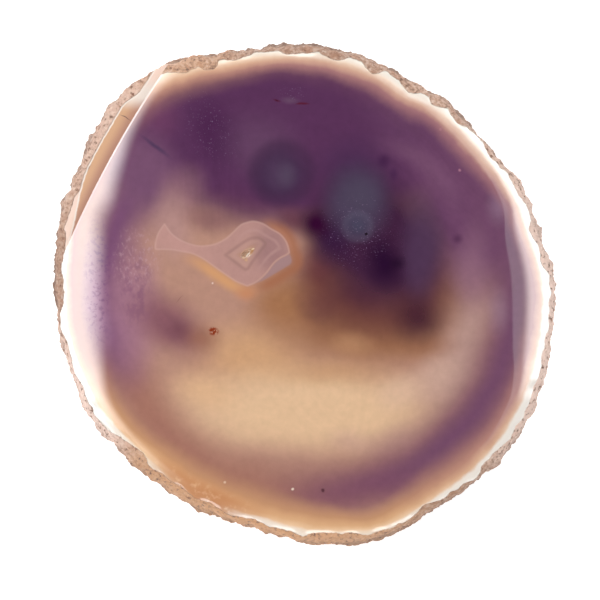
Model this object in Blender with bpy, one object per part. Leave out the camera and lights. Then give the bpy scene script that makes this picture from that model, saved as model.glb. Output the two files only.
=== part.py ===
"""A polished agate slice, cut across a nodule and lying on its flat underside.

The stone is one solid. Both faces are sawn and polished, and the polish rolls off towards the edge.
The nodule's rough rind is left all the way round. On one shoulder the saw stopped short and the last
of the stone broke off, which leaves a low step along the curve of the blade. The heart of the banding
is a small pit lined with quartz.

Units are metres. +Z is up, +Y is away, and the origin is under the middle of the slice's box, on the
surface that it lies on.
"""

import math

import bmesh
import bpy
from mathutils import Matrix, Vector, noise

MM = 0.001

# Driving dimensions of the slice
THICKNESS = 8.0 * MM
WAIST_HEIGHT = 3.2 * MM
EDGE_SLOPE = math.tan(math.radians(25.0))
UNDERSIDE_SHARE = 0.6

# Where the outline turns: degrees anticlockwise from +X as seen from above, and millimetres from the middle
OUTLINE = (
    (3, 44.9), (16, 43.6), (24, 43.7), (42, 42.5), (56, 43.2), (62, 42.9), (72, 43.9), (92, 45.1),
    (104, 45.2), (120, 48.1), (134, 48.8), (153, 46.2), (161, 46.2), (169, 45.2), (198, 43.9),
    (207, 44.1), (221, 43.2), (259, 42.8), (272, 44.6), (287, 45.7), (304, 45.2), (329, 46.1), (350, 45.2),
)
# How far in the rind reaches, at the same kind of place
RIND_WIDTH = (
    (0, 1.0), (22, 1.0), (42, 0.6), (56, 1.3), (74, 1.3), (91, 1.6), (102, 1.1), (112, 1.7), (127, 1.2),
    (138, 1.8), (149, 2.2), (161, 1.1), (172, 1.2), (192, 0.6), (206, 1.3), (223, 2.1), (245, 1.6),
    (261, 1.2), (276, 1.9), (290, 1.3), (312, 0.9), (330, 1.5), (348, 1.1),
)
# How wide the polish's roll-off is. At left and right it begins where the side lights' reflections do.
ROLL_WIDTH = (
    (0, 8.0), (12, 6.8), (25, 4.4), (50, 3.5), (118, 3.7), (134, 7.0), (142, 8.0), (150, 8.6), (158, 10.2),
    (166, 10.6), (181, 10.0), (192, 9.2), (206, 5.4), (220, 3.2), (300, 3.5), (333, 4.0), (340, 5.2), (347, 6.9),
)

# Lumps of the rind
COARSE_LUMP = 1.1 * MM
COARSE_PITCH = 4.6 * MM
FINE_LUMP = 0.8 * MM
FINE_PITCH = 2.1 * MM
LUMP_REACH = 0.28
RAGGED_EDGE = 0.5 * MM
RAGGED_PITCH = 2.6 * MM

# The step where the saw stopped. The radius is that of the arc that the blade left.
BLADE_RADIUS = 193.3 * MM
BLADE_STOP = Vector((-35.9, 21.9, 0.0)) * MM
BLADE_HEADING = math.radians(152.1)
BLADE_FACETS = 720
STEP_HEIGHT = 5.7 * MM
STEP_TILT = math.radians(2.0)
STEP_UPPER_END = 25.0 * MM
STEP_LOWER_END = 15.5 * MM
STEP_REACH = 14.0 * MM

# The quartz pit at the heart of the banding
PIT_CENTRE = Vector((-10.2, 7.3, 0.0)) * MM
PIT_DEPTH = 0.7 * MM
PIT_LENGTH = 2.3 * MM
PIT_BREADTH = 1.4 * MM
PIT_HEADING = math.radians(38.0)
PIT_SIDES = 6
PIT_FLOOR_SHARE = 0.3
PIT_MOUTH_SHARE = 0.7

# The stone's colour as a whole, and its polish
STONE_COLOUR = (0.31, 0.15, 0.16)
STONE_ROUGHNESS = 0.15

# Mesh fineness
SECTORS = 232
FACE_SHARES = (0.5, 1.0)
ROLL_SHARES = (0.25, 0.5, 0.75, 1.0)
BASE_ROLL_SHARES = (1.0, 0.5, 0.0)
SHOULDER_SHARES = (0.18, 0.36, 0.54, 0.7, 0.85, 1.0)
FLANK_SHARES = (0.22, 0.44, 0.66, 0.84, 1.0)
SHARP_ANGLE = math.radians(35.0)


def clear_scene():
    for thing in list(bpy.data.objects):
        bpy.data.objects.remove(thing, do_unlink=True)


def new_collection(name):
    collection = bpy.data.collections.new(name)
    bpy.context.scene.collection.children.link(collection)
    return collection


def stone_material(name, colour, roughness):
    material = bpy.data.materials.new(name)
    material.use_nodes = True
    shader = material.node_tree.nodes["Principled BSDF"]
    shader.inputs["Base Color"].default_value = (*colour, 1.0)
    shader.inputs["Roughness"].default_value = roughness
    shader.inputs["Metallic"].default_value = 0.0
    return material


def around(marks, angle):
    """The smooth closed curve through (degrees, value) marks, read at an angle in radians."""
    degrees = math.degrees(angle) % 360
    count = len(marks)
    at = max((k for k in range(count) if marks[k][0] <= degrees), default=count - 1)
    here, after = marks[at], marks[(at + 1) % count]
    before, beyond = marks[at - 1], marks[(at + 2) % count]
    span = (after[0] - here[0]) % 360
    part = (degrees - here[0]) % 360 / span
    slope = span * (after[1] - before[1]) / ((after[0] - before[0]) % 360)
    next_slope = span * (beyond[1] - here[1]) / ((beyond[0] - here[0]) % 360)
    rise = after[1] - here[1]
    cubic = slope + next_slope - 2 * rise
    square = 3 * rise - 2 * slope - next_slope
    return here[1] + part * (slope + part * (square + part * cubic))


def lumps(point):
    """How far the rind stands from its outer reach at a point: round lumps with creases between them."""
    coarse = COARSE_LUMP * (abs(noise.noise(point / COARSE_PITCH)) - LUMP_REACH)
    fine = FINE_LUMP * (abs(noise.noise(point / FINE_PITCH)) - LUMP_REACH)
    return coarse + fine


def rim_sizes(angle):
    """The skin's radius, the even radius where the polish ends, and the roll-off's width, at an angle."""
    skin = around(OUTLINE, angle) * MM
    return skin, skin - around(RIND_WIDTH, angle) * MM, around(ROLL_WIDTH, angle) * MM


def raggedness(angle, radius):
    """How far the rind's inner edge wanders from its even line at an angle."""
    edge_point = Vector((math.cos(angle), math.sin(angle), 0.0)) * radius
    return RAGGED_EDGE * noise.noise(edge_point / RAGGED_PITCH)


def roll_drop(roll, share):
    """How far the polish has dropped at a share of the roll-off's width."""
    return 0.5 * EDGE_SLOPE * roll * share * share


def stations():
    """What each ring of the stone is, from the middle of the top to the middle of the underside."""
    rings = [("top face", 0.0)]
    rings += [("top face", share) for share in FACE_SHARES]
    rings += [("top roll", share) for share in ROLL_SHARES]
    rings += [("shoulder", share) for share in SHOULDER_SHARES]
    rings += [("flank", share) for share in FLANK_SHARES]
    rings += [("base roll", share) for share in BASE_ROLL_SHARES]
    rings += [("base face", 0.0)]
    return rings


def ring_point(station, angle):
    """Where a ring of the stone passes at an angle."""
    role, share = station
    skin, polish, roll = rim_sizes(angle)
    ragged_polish = polish + raggedness(angle, polish)
    base_polish = skin - UNDERSIDE_SHARE * (skin - polish)
    base_roll = UNDERSIDE_SHARE * roll
    top_edge = THICKNESS - roll_drop(roll, 1.0)
    base_edge = roll_drop(base_roll, 1.0)
    turn = share * math.pi / 2
    rough = 0.0
    if role == "top face":
        radius = share * (polish - roll)
        height = THICKNESS
    elif role == "top roll":
        radius = (ragged_polish if share == 1.0 else polish) - (1 - share) * roll
        height = THICKNESS - roll_drop(roll, share)
    elif role == "shoulder":
        radius = ragged_polish + (skin - ragged_polish) * math.sin(turn)
        height = WAIST_HEIGHT + (top_edge - WAIST_HEIGHT) * math.cos(turn)
        rough = math.sin(turn)
    elif role == "flank":
        radius = base_polish + (skin - base_polish) * math.cos(turn)
        height = WAIST_HEIGHT - (WAIST_HEIGHT - base_edge) * math.sin(turn)
        rough = math.cos(turn)
    elif role == "base roll":
        radius = base_polish - (1 - share) * base_roll
        height = roll_drop(base_roll, share)
    else:
        radius = 0.0
        height = 0.0
    outward = Vector((math.cos(angle), math.sin(angle), 0.0))
    point = outward * radius + Vector((0.0, 0.0, height))
    return point + outward * rough * lumps(point)


def sawn_stone(collection):
    """The whole disc before the step and the pit, and the move that brings its middle to the origin."""
    rings = stations()
    shape = bmesh.new()
    bmesh.ops.create_uvsphere(shape, u_segments=SECTORS, v_segments=len(rings) - 1, radius=1.0)
    for corner in shape.verts:
        down = math.acos(max(-1.0, min(1.0, corner.co.z))) / math.pi
        angle = math.atan2(corner.co.y, corner.co.x)
        corner.co = ring_point(rings[round(down * (len(rings) - 1))], angle)
    mesh = bpy.data.meshes.new("agate_slice")
    shape.to_mesh(mesh)
    shape.free()
    corners = [corner.co for corner in mesh.vertices]
    middle_x = (min(c.x for c in corners) + max(c.x for c in corners)) / 2
    middle_y = (min(c.y for c in corners) + max(c.y for c in corners)) / 2
    to_middle = Matrix.Translation((-middle_x, -middle_y, 0.0))
    mesh.transform(to_middle)
    mesh.shade_smooth()
    mesh.set_sharp_from_angle(angle=SHARP_ANGLE)
    stone = bpy.data.objects.new("agate_slice", mesh)
    collection.objects.link(stone)
    return stone, to_middle


def helper(name, collection, shape, place):
    """A cutter: seen as wire, and left out of renders."""
    mesh = bpy.data.meshes.new(name)
    shape.to_mesh(mesh)
    shape.free()
    thing = bpy.data.objects.new(name, mesh)
    thing.matrix_world = place
    thing.hide_render = True
    thing.display_type = "WIRE"
    collection.objects.link(thing)
    return thing


def cut_away(thing, cutter, name):
    cut = thing.modifiers.new(name, "BOOLEAN")
    cut.operation = "DIFFERENCE"
    cut.solver = "EXACT"
    cut.object = cutter


def broken_spur(collection, to_middle):
    """The stone beyond the blade's reach that broke off: a block less the blade's own disc."""
    heading = Vector((math.cos(BLADE_HEADING), math.sin(BLADE_HEADING), 0.0))
    disc = bmesh.new()
    bmesh.ops.create_cone(
        disc,
        cap_ends=True,
        segments=BLADE_FACETS,
        radius1=BLADE_RADIUS,
        radius2=BLADE_RADIUS,
        depth=4 * THICKNESS,
    )
    blade_middle = BLADE_STOP - heading * BLADE_RADIUS
    blade = helper("saw_blade", collection, disc, to_middle @ Matrix.Translation(blade_middle))

    block = bmesh.new()
    bmesh.ops.create_cube(block, size=1.0)
    size = Vector((2 * STEP_REACH, STEP_UPPER_END + STEP_LOWER_END, 2 * THICKNESS))
    bmesh.ops.scale(block, vec=size, verts=block.verts)
    to_lower_end = (STEP_LOWER_END - STEP_UPPER_END) / 2
    bmesh.ops.translate(block, vec=(0.0, to_lower_end, THICKNESS), verts=block.verts)
    turn = Matrix.Rotation(BLADE_HEADING, 4, "Z") @ Matrix.Rotation(STEP_TILT, 4, "Y")
    floor_point = BLADE_STOP + Vector((0.0, 0.0, STEP_HEIGHT))
    place = to_middle @ Matrix.Translation(floor_point) @ turn
    spur = helper("broken_spur", collection, block, place)
    cut_away(spur, blade, "blade kerf")
    return spur


def quartz_pit(collection, to_middle):
    """The six-sided tapering pit that the quartz crystals leave open at the heart of the bands."""
    pit = bmesh.new()
    bmesh.ops.create_cone(
        pit,
        cap_ends=True,
        segments=PIT_SIDES,
        radius1=PIT_FLOOR_SHARE,
        radius2=PIT_MOUTH_SHARE,
        depth=2 * PIT_DEPTH,
    )
    bmesh.ops.scale(pit, vec=(PIT_LENGTH, PIT_BREADTH, 1.0), verts=pit.verts)
    place = Matrix.Translation(PIT_CENTRE + Vector((0.0, 0.0, THICKNESS)))
    turn = Matrix.Rotation(PIT_HEADING, 4, "Z")
    return helper("quartz_pit", collection, pit, to_middle @ place @ turn)


def main():
    clear_scene()
    parts = new_collection("agate slice")
    cutters = new_collection("cutters")
    stone, to_middle = sawn_stone(parts)
    cut_away(stone, broken_spur(cutters, to_middle), "step")
    cut_away(stone, quartz_pit(cutters, to_middle), "pit")
    stone.data.materials.append(stone_material("banded agate", STONE_COLOUR, STONE_ROUGHNESS))


main()
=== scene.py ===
"""A polished agate slice on a white sweep, seen from straight above under four level softboxes.

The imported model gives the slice's size and place. The stone is made again here with a finer rind, and its
bands are soft stains laid over each other in one shader. Units are metres. Places on the polished face
are in millimetres from the middle of the slice, with +Y towards the top of the view.
"""

import math

import bmesh
import bpy
import numpy as np
from mathutils import Matrix, Vector, geometry, noise


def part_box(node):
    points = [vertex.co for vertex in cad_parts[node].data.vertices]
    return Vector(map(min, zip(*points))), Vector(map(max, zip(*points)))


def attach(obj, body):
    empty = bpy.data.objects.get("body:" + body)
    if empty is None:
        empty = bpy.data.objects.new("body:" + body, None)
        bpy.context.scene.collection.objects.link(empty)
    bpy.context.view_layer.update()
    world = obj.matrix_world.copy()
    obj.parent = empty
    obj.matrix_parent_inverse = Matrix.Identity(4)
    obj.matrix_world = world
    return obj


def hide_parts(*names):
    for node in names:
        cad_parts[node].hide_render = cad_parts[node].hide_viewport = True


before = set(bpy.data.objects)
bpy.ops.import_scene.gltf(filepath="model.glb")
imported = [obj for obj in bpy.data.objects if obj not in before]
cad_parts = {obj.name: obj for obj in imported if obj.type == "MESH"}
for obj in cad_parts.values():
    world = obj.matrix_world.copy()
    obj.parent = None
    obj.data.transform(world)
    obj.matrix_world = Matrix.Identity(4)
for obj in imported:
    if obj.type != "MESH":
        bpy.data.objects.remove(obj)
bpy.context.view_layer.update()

# The rim of the stone
# A nodule of chalcedony sawn across and polished on both faces. The polish rolls off towards the edge,
# where the nodule's own rough rind is left. Both flat faces are filled in further down.
MM = 0.001
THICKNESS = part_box("agate_slice")[1].z

# The waist is where the skin stands furthest out. The underside's rind and roll-off have a share of the
# width of those on top.
WAIST_HEIGHT = 3.2 * MM
EDGE_SLOPE = math.tan(math.radians(25.0))
UNDERSIDE_SHARE = 0.6

# Degrees anticlockwise from +X, and millimetres
OUTLINE = (
    (3, 44.9), (16, 43.6), (24, 43.7), (42, 42.5), (56, 43.2), (62, 42.9), (72, 43.9), (92, 45.1),
    (104, 45.2), (120, 48.1), (134, 48.8), (153, 46.2), (161, 46.2), (169, 45.2), (198, 43.9),
    (207, 44.1), (221, 43.2), (259, 42.8), (272, 44.6), (287, 45.7), (304, 45.2), (329, 46.1), (350, 45.2),
)
RIND_WIDTH = (
    (0, 1.0), (22, 1.0), (42, 0.6), (56, 1.3), (74, 1.3), (91, 1.6), (102, 1.1), (112, 1.7), (127, 1.2),
    (138, 1.8), (149, 2.2), (161, 1.1), (172, 1.2), (192, 0.6), (206, 1.3), (223, 2.1), (245, 1.6),
    (261, 1.2), (276, 1.9), (290, 1.3), (312, 0.9), (330, 1.5), (348, 1.1),
)
ROLL_WIDTH = (
    (0, 8.0), (12, 6.8), (25, 4.4), (50, 3.5), (118, 3.7), (134, 7.0), (142, 8.0), (150, 8.6), (158, 10.2),
    (166, 10.6), (181, 10.0), (192, 9.2), (206, 5.4), (220, 3.2), (300, 3.5), (333, 4.0), (340, 5.2),
    (347, 6.9),
)

# Each lump's size and the distance between lumps. The polish's edge is ragged too, and the last share of
# the roll-off follows it.
LUMPS = ((1.1 * MM, 4.6 * MM), (0.8 * MM, 2.1 * MM), (0.42 * MM, 0.95 * MM), (0.26 * MM, 0.48 * MM))
LUMP_REACH = 0.28
RAGGED_EDGE = 0.5 * MM
RAGGED_PITCH = 2.6 * MM
RAGGED_SHARE = 0.25

SECTORS = 1200
ROLL_ROWS = 10
SHOULDER_ROWS = 15
FLANK_ROWS = 12
BASE_ROLL_ROWS = 3


def around(marks, angle):
    """The smooth closed curve through (degrees, value) marks, read at an angle in radians."""
    degrees = math.degrees(angle) % 360
    count = len(marks)
    at = max((k for k in range(count) if marks[k][0] <= degrees), default=count - 1)
    here, after = marks[at], marks[(at + 1) % count]
    before, beyond = marks[at - 1], marks[(at + 2) % count]
    span = (after[0] - here[0]) % 360
    part = (degrees - here[0]) % 360 / span
    slope = span * (after[1] - before[1]) / ((after[0] - before[0]) % 360)
    next_slope = span * (beyond[1] - here[1]) / ((beyond[0] - here[0]) % 360)
    rise = after[1] - here[1]
    cubic = slope + next_slope - 2 * rise
    square = 3 * rise - 2 * slope - next_slope
    return here[1] + part * (slope + part * (square + part * cubic))


def lumps(point):
    """How far the rind stands from its outer reach: round lumps with creases between them."""
    return sum(size * (abs(noise.noise(point / pitch)) - LUMP_REACH) for size, pitch in LUMPS)


def rim_sizes(angle):
    """The radius of the skin, of the polish's even and ragged edges, and the width of the roll-off."""
    skin = around(OUTLINE, angle) * MM
    polish = skin - around(RIND_WIDTH, angle) * MM
    edge_point = Vector((math.cos(angle), math.sin(angle), 0.0)) * polish
    ragged_polish = polish + RAGGED_EDGE * noise.noise(edge_point / RAGGED_PITCH)
    return skin, polish, ragged_polish, around(ROLL_WIDTH, angle) * MM


def roll_drop(roll, share):
    """How far the polish has dropped at a share of the roll-off's width."""
    return 0.5 * EDGE_SLOPE * roll * share * share


def ring_point(role, share, angle, sizes):
    """Where a ring of the rim passes at an angle."""
    skin, polish, ragged_polish, roll = sizes
    base_polish = skin - UNDERSIDE_SHARE * (skin - polish)
    base_roll = UNDERSIDE_SHARE * roll
    top_edge = THICKNESS - roll_drop(roll, 1.0)
    base_edge = roll_drop(base_roll, 1.0)
    turn = share * math.pi / 2
    rough = 0.0
    if role == "top roll":
        wander = (ragged_polish - polish) * max(0.0, 1 - (1 - share) / RAGGED_SHARE)
        radius = polish - (1 - share) * roll + wander
        height = THICKNESS - roll_drop(roll, share)
    elif role == "shoulder":
        radius = ragged_polish + (skin - ragged_polish) * math.sin(turn)
        height = WAIST_HEIGHT + (top_edge - WAIST_HEIGHT) * math.cos(turn)
        rough = math.sin(turn)
    elif role == "flank":
        radius = base_polish + (skin - base_polish) * math.cos(turn)
        height = WAIST_HEIGHT - (WAIST_HEIGHT - base_edge) * math.sin(turn)
        rough = math.cos(turn)
    else:
        radius = base_polish - (1 - share) * base_roll
        height = roll_drop(base_roll, share)
    outward = Vector((math.cos(angle), math.sin(angle), 0.0))
    point = outward * radius + Vector((0.0, 0.0, height))
    if rough > 0.0:
        point += outward * rough * lumps(point)
    return point


def shares(rows):
    """How far each of a number of rows reaches, the last of them to 1."""
    return [(row + 1) / rows for row in range(rows)]


rings = [("top roll", 0.0)]
rings += [("top roll", share) for share in shares(ROLL_ROWS)]
rings += [("shoulder", share) for share in shares(SHOULDER_ROWS)]
rings += [("flank", share) for share in shares(FLANK_ROWS)]
rings += [("base roll", 1 - share) for share in shares(BASE_ROLL_ROWS)]

angles = [2 * math.pi * sector / SECTORS for sector in range(SECTORS)]
sizes_by_sector = [rim_sizes(angle) for angle in angles]
rim_points = [
    ring_point(role, share, angle, sizes)
    for role, share in rings
    for angle, sizes in zip(angles, sizes_by_sector)
]
rim_faces = [
    (
        row * SECTORS + sector,
        (row + 1) * SECTORS + sector,
        (row + 1) * SECTORS + (sector + 1) % SECTORS,
        row * SECTORS + (sector + 1) % SECTORS,
    )
    for row in range(len(rings) - 1)
    for sector in range(SECTORS)
]
top_lid = tuple(range(SECTORS))
base_lid = tuple(reversed(range((len(rings) - 1) * SECTORS, len(rings) * SECTORS)))

cad_low, cad_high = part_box("agate_slice")
middle_x = (min(p.x for p in rim_points) + max(p.x for p in rim_points)) / 2
middle_y = (min(p.y for p in rim_points) + max(p.y for p in rim_points)) / 2
cad_middle = (cad_low + cad_high) / 2
to_middle = Matrix.Translation((cad_middle.x - middle_x, cad_middle.y - middle_y, 0.0))

stone_mesh = bpy.data.meshes.new("agate_stone")
stone_mesh.from_pydata(rim_points, [], rim_faces + [top_lid, base_lid])
stone_mesh.transform(to_middle)
stone = bpy.data.objects.new("agate_stone", stone_mesh)
bpy.context.scene.collection.objects.link(stone)

# The step at the upper left
# The saw stopped short there, and the last of the stone broke off along its cut. It is cut from the rim
# with the block and the blade that part.py uses.
BLADE_RADIUS = 193.3 * MM
BLADE_STOP = Vector((-35.9, 21.9, 0.0)) * MM
BLADE_HEADING = math.radians(152.1)
BLADE_FACETS = 720
STEP_HEIGHT = 5.7 * MM
STEP_TILT = math.radians(2.0)
STEP_UPPER_END = 25.0 * MM
STEP_LOWER_END = 15.5 * MM
STEP_REACH = 14.0 * MM
STEP_FLOOR_CUTS = 80


def new_thing(name, form, where):
    """An object made of a bmesh, which is freed, and placed by a matrix."""
    mesh = bpy.data.meshes.new(name)
    form.to_mesh(mesh)
    form.free()
    thing = bpy.data.objects.new(name, mesh)
    thing.matrix_world = where
    bpy.context.scene.collection.objects.link(thing)
    return thing


def cut_away(thing, tool):
    """Cuts the tool's shape from a thing for good, and takes the tool away."""
    cut = thing.modifiers.new("cut", "BOOLEAN")
    cut.operation = "DIFFERENCE"
    cut.solver = "EXACT"
    cut.object = tool
    evaluated = thing.evaluated_get(bpy.context.evaluated_depsgraph_get())
    uncut_mesh = thing.data
    thing.data = bpy.data.meshes.new_from_object(evaluated)
    thing.modifiers.remove(cut)
    bpy.data.meshes.remove(uncut_mesh)
    bpy.data.objects.remove(tool, do_unlink=True)


disc = bmesh.new()
disc_radii = {"radius1": BLADE_RADIUS, "radius2": BLADE_RADIUS}
bmesh.ops.create_cone(disc, cap_ends=True, segments=BLADE_FACETS, depth=4 * THICKNESS, **disc_radii)
heading = Vector((math.cos(BLADE_HEADING), math.sin(BLADE_HEADING), 0.0))
blade_middle = to_middle @ (BLADE_STOP - heading * BLADE_RADIUS)
blade = new_thing("saw_blade", disc, Matrix.Translation(blade_middle))

block = bmesh.new()
bmesh.ops.create_cube(block, size=1.0)
bmesh.ops.subdivide_edges(block, edges=block.edges, cuts=STEP_FLOOR_CUTS, use_grid_fill=True)
block_size = Vector((2 * STEP_REACH, STEP_UPPER_END + STEP_LOWER_END, 2 * THICKNESS))
bmesh.ops.scale(block, vec=block_size, verts=block.verts)
to_lower_end = (STEP_LOWER_END - STEP_UPPER_END) / 2
bmesh.ops.translate(block, vec=(0.0, to_lower_end, THICKNESS), verts=block.verts)
step_turn = Matrix.Rotation(BLADE_HEADING, 4, "Z") @ Matrix.Rotation(STEP_TILT, 4, "Y")
floor_point = BLADE_STOP + Vector((0.0, 0.0, STEP_HEIGHT))
spur = new_thing("broken_spur", block, to_middle @ Matrix.Translation(floor_point) @ step_turn)
step_normal = (step_turn @ Vector((0.0, 0.0, 1.0))).normalized()
step_place = to_middle @ floor_point
cut_away(spur, blade)
cut_away(stone, spur)

# The two polished faces
# They are flat as far as the roll-off. Round the small fish-shaped eye their mesh is finer, because each
# corner also holds how far it is from the eye's outlines. A hollow is left open at the eye's heart.
EYE_TOP = (
    (-24.96, 12.52), (-23.80, 10.88), (-22.24, 9.71), (-20.30, 8.92), (-18.37, 8.60), (-16.04, 8.92),
    (-14.08, 9.89), (-12.72, 11.07), (-11.38, 12.33), (-10.20, 12.81), (-9.05, 13.01), (-7.47, 12.61),
    (-5.93, 11.65), (-4.39, 10.77), (-3.40, 9.60), (-2.92, 8.44), (-2.72, 7.47),
)
EYE_SEAM = (
    (-2.72, 7.47), (-3.21, 7.08), (-4.37, 6.50), (-5.54, 5.54), (-6.70, 3.98), (-7.87, 2.81), (-9.03, 2.02),
    (-10.20, 1.54),
)
EYE_BASE = (
    (-10.20, 1.54), (-12.15, 2.33), (-14.08, 3.58), (-16.04, 4.95), (-17.97, 6.31), (-19.91, 7.27),
    (-21.86, 7.67), (-23.80, 8.01), (-26.52, 8.05),
)
EYE_TAIL = ((-26.52, 8.05), (-26.61, 8.64), (-26.12, 10.77), (-24.96, 12.52))
LOBE = (
    (-10.20, 1.54), (-7.62, 2.31), (-5.34, 3.58), (-3.40, 4.75), (-2.40, 5.43), (-2.24, 6.31), (-2.72, 7.47),
)
DIAMOND = (
    (-14.24, 7.02), (-12.24, 8.48), (-10.38, 9.71), (-9.15, 10.18), (-7.92, 10.09), (-7.05, 9.41),
    (-6.93, 8.79), (-7.76, 7.71), (-9.15, 5.86), (-10.38, 4.37), (-12.24, 5.55), (-14.24, 7.02),
)
CURVE_STEPS = 5

# The faces' mesh, in millimetres: how near to an outline each spacing of its corners is used
SPACINGS = ((0.7, 0.24), (2.4, 0.55), (99.0, 1.2))
EDGE_CLEARANCE = 0.45
HALF_SPAN = 46.0
MERGE_DISTANCE = 1e-5

PIT_CENTRE = Vector((-10.2, 7.3, 0.0)) * MM
PIT_DEPTH = 0.7 * MM
PIT_LENGTH = 2.3 * MM
PIT_BREADTH = 1.4 * MM
PIT_HEADING = math.radians(38.0)
PIT_MOUTH_SHARE = 0.5
PIT_FLOOR_SHARE = 0.3
PIT_CORNERS = 30
PIT_ROWS = 5
PIT_WAVER = 0.16
PIT_WAVER_SPREAD = 3.0
PIT_CLEARANCE = 0.08


def curved(marks):
    """Points on a smooth curve through marks, from the first to just before the last."""
    ends = (marks[0],) + tuple(marks) + (marks[-1],)
    line = []
    for before, here, after, beyond in zip(ends, ends[1:], ends[2:], ends[3:]):
        for step in range(CURVE_STEPS):
            part = step / CURVE_STEPS
            weights = (
                part * (part * (2 - part) - 1) / 2,
                (part * part * (3 * part - 5) + 2) / 2,
                part * (part * (4 - 3 * part) + 1) / 2,
                part * part * (part - 1) / 2,
            )
            near = (before, here, after, beyond)
            line.append([sum(w * mark[axis] for w, mark in zip(weights, near)) for axis in (0, 1)])
    return line


def inside(points, outline):
    """How far points are inside a closed outline, or outside it where that is less than zero."""
    outline = np.array(outline)
    nearest = np.full(len(points), HALF_SPAN * 4)
    within = np.zeros(len(points), dtype=bool)
    for start, end in zip(outline, np.roll(outline, -1, axis=0)):
        along = end - start
        length = float(along @ along)
        if length == 0.0:
            continue
        offset = points - start
        part = np.clip(offset @ along / length, 0.0, 1.0)
        nearest = np.minimum(nearest, np.hypot(*(offset - part[:, None] * along).T))
        if along[1] != 0.0:
            crosses = (points[:, 1] < start[1]) != (points[:, 1] < end[1])
            crossing = start[0] + (points[:, 1] - start[1]) / along[1] * along[0]
            within ^= crosses & (points[:, 0] < crossing)
    return np.where(within, nearest, -nearest)


outlines = {
    "eye": curved(EYE_TOP) + curved(EYE_SEAM) + curved(EYE_BASE) + curved(EYE_TAIL),
    "lobe": curved(LOBE) + curved(EYE_SEAM),
    "diamond": curved(DIAMOND),
}


def spread_corners(rim):
    """Corners for a flat face inside its rim, close together only at the eye's outlines."""
    chosen = []
    closer = 0.0
    for reach, spacing in SPACINGS:
        row_height = spacing * math.sqrt(0.75)
        rows = range(-int(HALF_SPAN / row_height), int(HALF_SPAN / row_height) + 1)
        columns = range(-int(HALF_SPAN / spacing), int(HALF_SPAN / spacing) + 1)
        points = np.array([
            ((column + 0.5 * (row % 2)) * spacing, row * row_height)
            for row in rows
            for column in columns
        ])
        apart = np.min([np.abs(inside(points, outline)) for outline in outlines.values()], axis=0)
        points = points[(apart >= closer) & (apart < reach)]
        chosen.append(points[inside(points, rim) > EDGE_CLEARANCE])
        closer = reach
    return np.concatenate(chosen)


def pit_ring(share, depth):
    """One ring of the hollow's wall, with a slight waver that changes with its depth."""
    corners = []
    for corner in range(PIT_CORNERS):
        angle = 2 * math.pi * corner / PIT_CORNERS
        east, north = math.cos(angle), math.sin(angle)
        waver = noise.noise(Vector((PIT_WAVER_SPREAD * east, PIT_WAVER_SPREAD * north, depth / MM)))
        size = share * (1 + PIT_WAVER * waver)
        corners.append(pit_place @ Vector((PIT_LENGTH * size * east, PIT_BREADTH * size * north, -depth)))
    return corners


pit_place = to_middle @ Matrix.Translation(PIT_CENTRE + Vector((0.0, 0.0, THICKNESS)))
pit_place = pit_place @ Matrix.Rotation(PIT_HEADING, 4, "Z")
pit_mouth = [corner.xy / MM for corner in pit_ring(PIT_MOUTH_SHARE, 0.0)]


def line_pit(form, above):
    """Builds the hollow's wall and floor, down from the corners of its mouth."""
    for share in shares(PIT_ROWS):
        size = PIT_MOUTH_SHARE + (PIT_FLOOR_SHARE - PIT_MOUTH_SHARE) * share
        below = [form.verts.new(corner) for corner in pit_ring(size, PIT_DEPTH * share)]
        for k in range(PIT_CORNERS):
            following = (k + 1) % PIT_CORNERS
            form.faces.new((above[k], above[following], below[following], below[k]))
        above = below
    form.faces.new(above)


def fill_lid(form, lid):
    """Puts a fine flat mesh in a lid's place, with the hollow in it where the lid is the top one."""
    height = lid.verts[0].co.z
    upward = height > THICKNESS / 2
    rim_corners = list(lid.verts) if upward else list(reversed(lid.verts))
    form.faces.remove(lid)
    rim = [corner.co.xy / MM for corner in rim_corners]
    mouth = pit_mouth if upward else []
    inner = spread_corners(rim)
    inner = inner[inside(inner, mouth) < -PIT_CLEARANCE]
    count = len(rim)
    fixed = count + len(mouth)
    edges = [(k, (k + 1) % count) for k in range(count)]
    edges += [(count + k, count + (k + 1) % len(mouth)) for k in range(len(mouth))]
    points = rim + mouth + [Vector(point) for point in inner]
    border = [list(range(count))]
    filled = geometry.delaunay_2d_cdt(points, edges, border, 1, MERGE_DISTANCE)
    flat_points, _, triangles, point_sources, *_ = filled
    corners = []
    mouth_corners = {}
    for point, sources in zip(flat_points, point_sources):
        source = sources[0] if sources else fixed
        if source < count:
            corners.append(rim_corners[source])
        else:
            corners.append(form.verts.new((point.x * MM, point.y * MM, height)))
        if count <= source < fixed:
            mouth_corners[source - count] = corners[-1]
    middles = np.array(flat_points)[np.array(triangles)].mean(axis=1)
    for triangle, over_pit in zip(triangles, inside(middles, mouth) > 0.0):
        if not over_pit:
            form.faces.new([corners[k] for k in (triangle if upward else reversed(triangle))])
    if upward:
        line_pit(form, [mouth_corners[k] for k in range(PIT_CORNERS)])


form = bmesh.new()
form.from_mesh(stone.data)
for lid in sorted(form.faces, key=lambda face: len(face.verts))[-2:]:
    fill_lid(form, lid)
bmesh.ops.recalc_face_normals(form, faces=form.faces)
form.to_mesh(stone.data)
form.free()

# Where each corner of the stone lies between its rind and its eye
# Bands in agate follow the nodule's skin and the outline of each eye. The corners hold their distance from
# both in millimetres, so that the shader can lay bands along them.
FLOOR_TOLERANCE = 0.02 * MM
SHARP_ANGLE = math.radians(35.0)

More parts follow.
